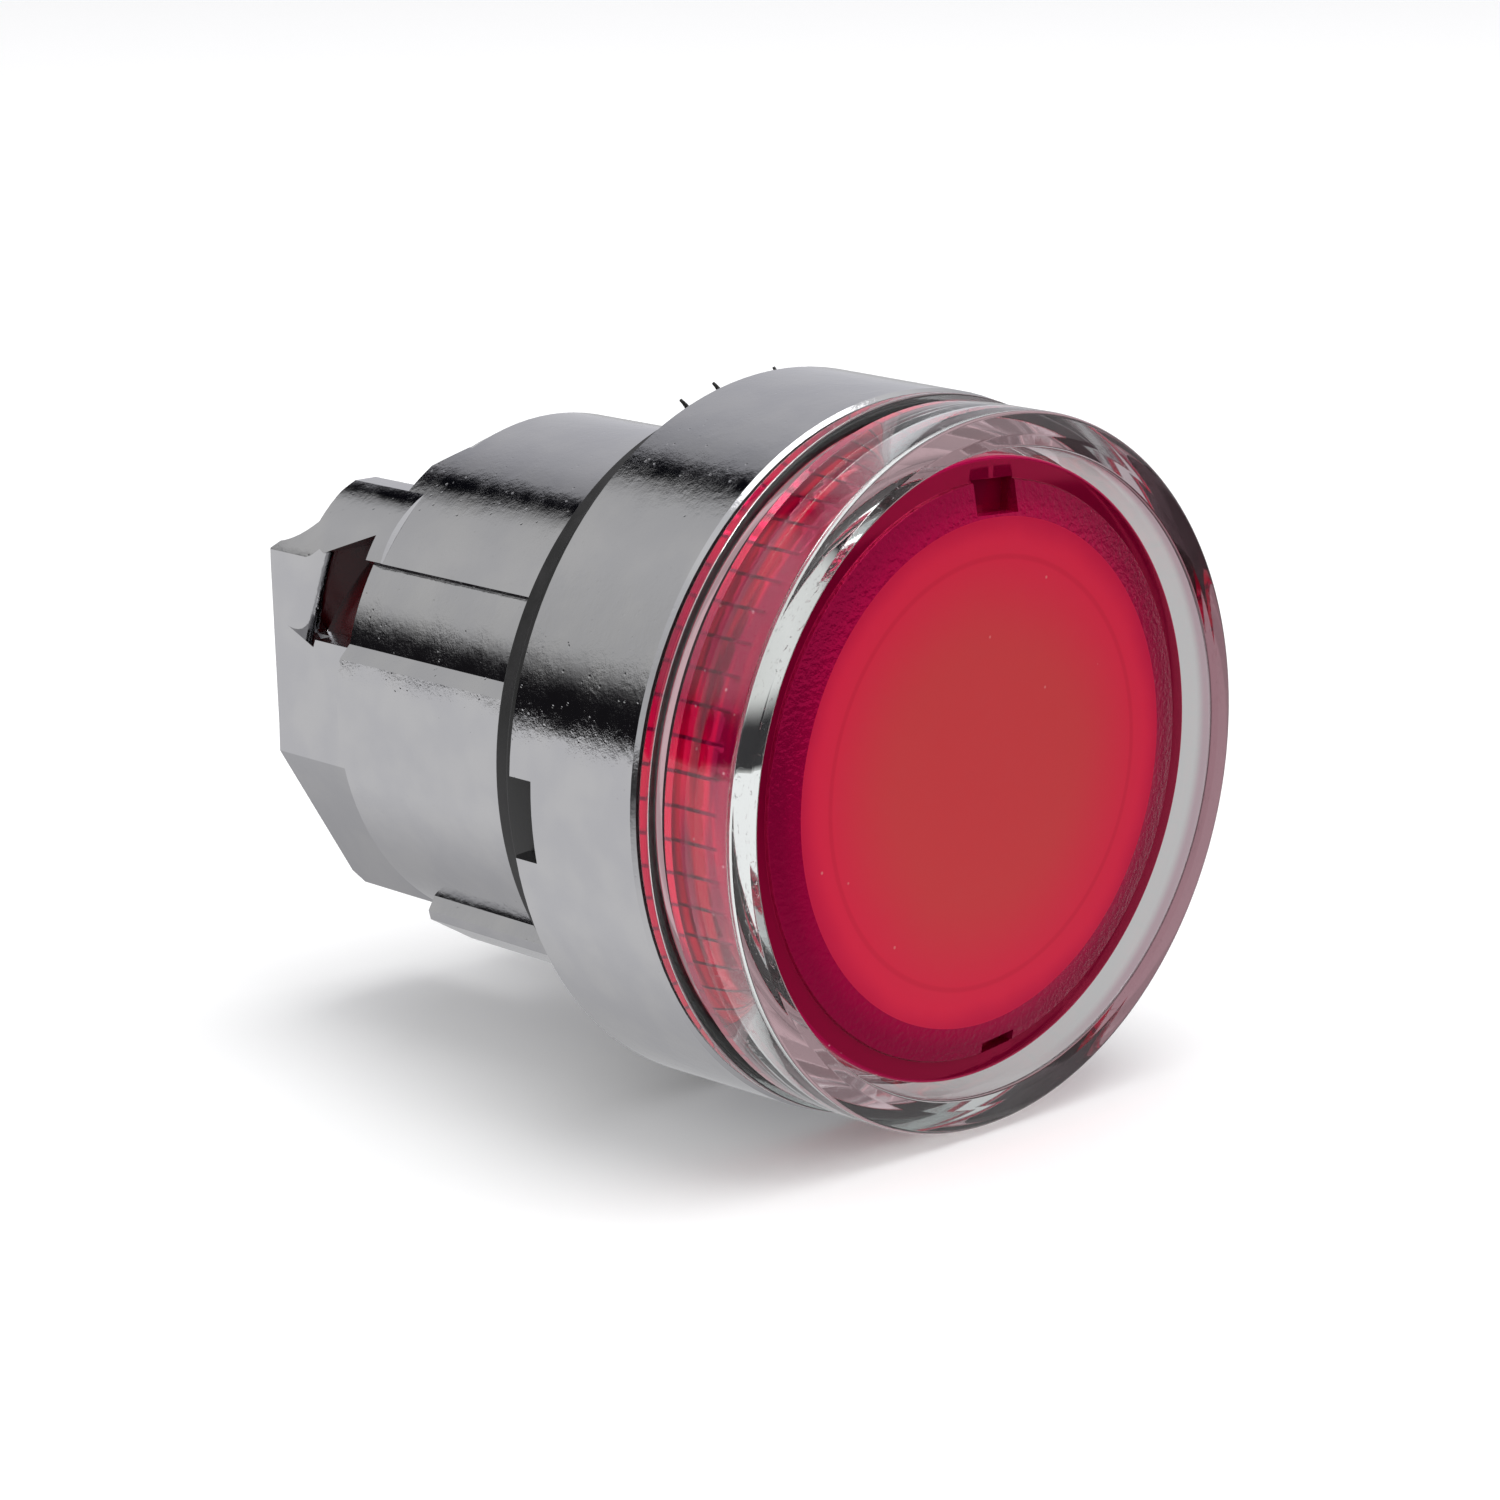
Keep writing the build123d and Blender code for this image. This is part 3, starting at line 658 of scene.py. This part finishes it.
def make_gasket(material):
    """Stepped black gasket with rounded lips and three small moulding whiskers."""
    outline = rounded([
        (GASKET_BORE_R, 0.0, 0.05), (GASKET_STEP_R, 0.0, 0.12), (GASKET_STEP_R, GASKET_STEP, 0.06),
        (GASKET_R, GASKET_STEP, 0.15), (GASKET_R, GASKET_FRONT, 0.05), (GASKET_BORE_R, GASKET_FRONT, 0.05),
    ], steps=4)
    mesh = lathe("gasket_rubber", outline, 240)
    piece = new_piece("gasket_rubber", mesh, "head", "black_rubber", "panel_gasket")
    cut_block(piece, KEY_ANGLE, KEY_HALF, (-5, 1), (10.0, KEY_R))
    finish_mesh(piece.data, 40.0)
    piece.data.materials.clear()
    piece.data.materials.append(material)
    for index, (angle, bend) in enumerate(WHISKERS):
        path = []
        radii = []
        for k in range(9):
            share = k / 8
            lean = math.radians(angle) + math.radians(bend * 2.2) * share * share
            depth = WHISKER_DEPTH - 0.25 * share * share
            path.append(Vector(at(WHISKER_ROOT_R + WHISKER_LENGTH * share, depth, lean)))
            radii.append((0.17 - 0.11 * share) * MM)
        whisker = swept("gasket_whisker_%d" % (index + 1), path, radii, 10)
        whisker.shade_smooth()
        whisker.materials.append(material)
        new_piece(whisker.name, whisker, "head", "black_rubber")


def make_round_seal(name, node, outline, material):
    """Small rubber ring turned from an outline, in place of its CAD node."""
    mesh = lathe(name, rounded(outline, steps=4), 240)
    new_piece(name, mesh, "head", "black_seal", node)
    finish_mesh(mesh, 40.0)
    mesh.materials.append(material)


def make_spring(material):
    """Compression spring with closed end coils."""
    low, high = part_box("return_spring")
    wire = COIL_WIRE * MM
    mean = COIL_R * MM
    start = low[1] + wire
    end = high[1] - wire
    path = []
    count = int(COIL_TURNS * 36)
    pitch = 2 * wire * 1.04
    flat = pitch * COIL_CLOSED
    for i in range(count + 1):
        turn = COIL_TURNS * i / count
        if turn < COIL_CLOSED:
            along = pitch * turn
        elif turn > COIL_TURNS - COIL_CLOSED:
            along = (end - start) - pitch * (COIL_TURNS - turn)
        else:
            share = (turn - COIL_CLOSED) / (COIL_TURNS - 2 * COIL_CLOSED)
            along = flat + (end - start - 2 * flat) * share
        angle = 2 * math.pi * turn
        path.append(Vector((mean * math.cos(angle), start + along, mean * math.sin(angle))))
    mesh = swept("return_spring_wire", path, wire * 0.995, 16)
    finish_mesh(mesh, 60.0)
    mesh.materials.append(material)
    piece = new_piece("return_spring_wire", mesh, "head", "spring_steel", "return_spring")
    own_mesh(piece)


def dress(material, *nodes):
    """Give CAD nodes a detailed material."""
    for node in nodes:
        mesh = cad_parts[node].data
        mesh.materials.clear()
        mesh.materials.append(material)


# ------------------------------------------------------------------ stage and light
def make_floor(material):
    """Pale paper floor just under the bezel."""
    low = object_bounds()[0][2] - 0.02 * MM
    work = bmesh.new()
    bmesh.ops.create_circle(work, cap_ends=True, segments=96, radius=1.6)
    mesh = bpy.data.meshes.new("floor")
    work.to_mesh(mesh)
    work.free()
    floor = bpy.data.objects.new("floor", mesh)
    floor.location = (0, 0, low)
    bpy.context.scene.collection.objects.link(floor)
    mesh.materials.append(material)
    floor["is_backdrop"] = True


def make_world():
    """Soft studio surround: pale tent, two grey panels behind with a dark gap, a dark strip low left."""
    world = bpy.data.worlds.new("studio")
    bpy.context.scene.world = world
    world.use_nodes = True
    tree = Tree(world.node_tree)
    direction = tree.add("ShaderNodeTexCoord").outputs["Generated"]
    x, y, z = tree.split(direction)
    back = tree.smooth(y, -0.15, 0.25)
    lean = tree.math("DIVIDE", x, tree.math("MAXIMUM", y, 0.2))
    panels = tree.ramp(tree.remap(lean, -1.0, 1.0), [
        (0.0, (0.62, 0.62, 0.61)), (0.24, (0.72, 0.72, 0.72)), (0.42, (0.66, 0.66, 0.66)),
        (0.475, (0.34, 0.34, 0.34)), (0.50, (0.004, 0.004, 0.006)), (0.56, (0.006, 0.006, 0.009)),
        (0.585, (0.36, 0.36, 0.38)), (0.70, (0.55, 0.55, 0.58)), (0.80, (0.64, 0.64, 0.67)),
        (1.0, (0.66, 0.66, 0.70)),
    ])
    top = tree.smooth(z, 0.74, 0.82)
    panels = tree.blend(top, panels, (0.85, 0.85, 0.86))
    front = tree.ramp(tree.remap(z, -0.1, 1.0), [
        (0.0, (0.80, 0.80, 0.81)), (0.35, (0.62, 0.62, 0.63)), (0.75, (0.95, 0.95, 0.96)),
        (1.0, (0.9, 0.9, 0.9)),
    ])
    colour = tree.blend(back, front, panels)
    left = tree.smooth(x, 0.12, -0.12)
    dark = tree.product(tree.smooth(z, 0.33, 0.17), tree.smooth(z, -0.02, 0.015), left, back)
    colour = tree.blend(dark, colour, (0.012, 0.011, 0.013))
    right = tree.product(tree.smooth(x, 0.35, 0.6), tree.smooth(z, 0.06, -0.06))
    colour = tree.blend(right, colour, (0.74, 0.74, 0.76))
    seen = tree.add("ShaderNodeLightPath").outputs["Is Camera Ray"]
    colour = tree.blend(seen, colour, (1.0, 1.0, 1.0))
    sky = tree.add("ShaderNodeBackground", {"Color": colour, "Strength": 1.0})
    output = tree.add("ShaderNodeOutputWorld")
    tree.feed(output.inputs["Surface"], sky.outputs[0])


def make_light(name, place, side, power):
    """Square softbox that faces the head."""
    data = bpy.data.lights.new(name, "AREA")
    data.shape = "SQUARE"
    data.size = side
    data.energy = power
    light = bpy.data.objects.new(name, data)
    bpy.context.scene.collection.objects.link(light)
    aim = (-Vector(place)).to_track_quat("-Z", "Y")
    light.matrix_world = Matrix.Translation(Vector(place)) @ aim.to_matrix().to_4x4()


# ------------------------------------------------------------------ build
make_camera()
make_world()
bpy.context.scene.view_settings.view_transform = "Standard"
make_floor(floor_paper())
make_light("top_softbox", (0.05, -0.10, 0.62), 0.50, 2.2)

black = rubber("black_rubber_detailed", (0.010, 0.010, 0.010), (0.024, 0.023, 0.024), 0.50)
seal = rubber("black_seal_detailed", (0.014, 0.013, 0.014), (0.030, 0.028, 0.030), 0.36)
strip_steel = steel("steel_detailed", (0.56, 0.57, 0.58), 0.24)
wire_steel = steel("spring_steel_detailed", (0.50, 0.50, 0.50), 0.22)
acetal = moulded(
    "natural_acetal_detailed", (0.72, 0.70, 0.63), (0.80, 0.78, 0.72), 0.42, Subsurface_Weight=0.1)
opal = moulded("white_diffuser_detailed", (0.84, 0.83, 0.80), (0.90, 0.89, 0.86), 0.50)

dress(chrome(), "body_casting")
dress(red_plunger(), "plunger")
dress(acetal, "guide_bush")
dress(strip_steel, "seal_retainer", "spring_seat_washer", "retaining_clip")
dress(seal, "wiper_seal", "lens_seal")
dress(opal, "diffuser_disc")

make_guard_ring(clear_plastic())
make_lens(red_face(), red_rim())
make_gasket(black)
make_round_seal("ring_gasket_rubber", "ring_gasket", [
    (13.6, 9.3, 0.03), (13.95, 9.3, 0.05), (13.95, 9.45, 0.05), (13.6, 9.45, 0.03)], seal)
make_round_seal("ring_o_ring_rubber", "ring_o_ring", [
    (13.36, 10.06, 0.05), (13.72, 10.1, 0.1), (13.72, 10.6, 0.1), (13.36, 10.64, 0.05)],
    rubber("o_ring_detailed", (0.036, 0.020, 0.024), (0.060, 0.036, 0.041), 0.42))
make_spring(wire_steel)
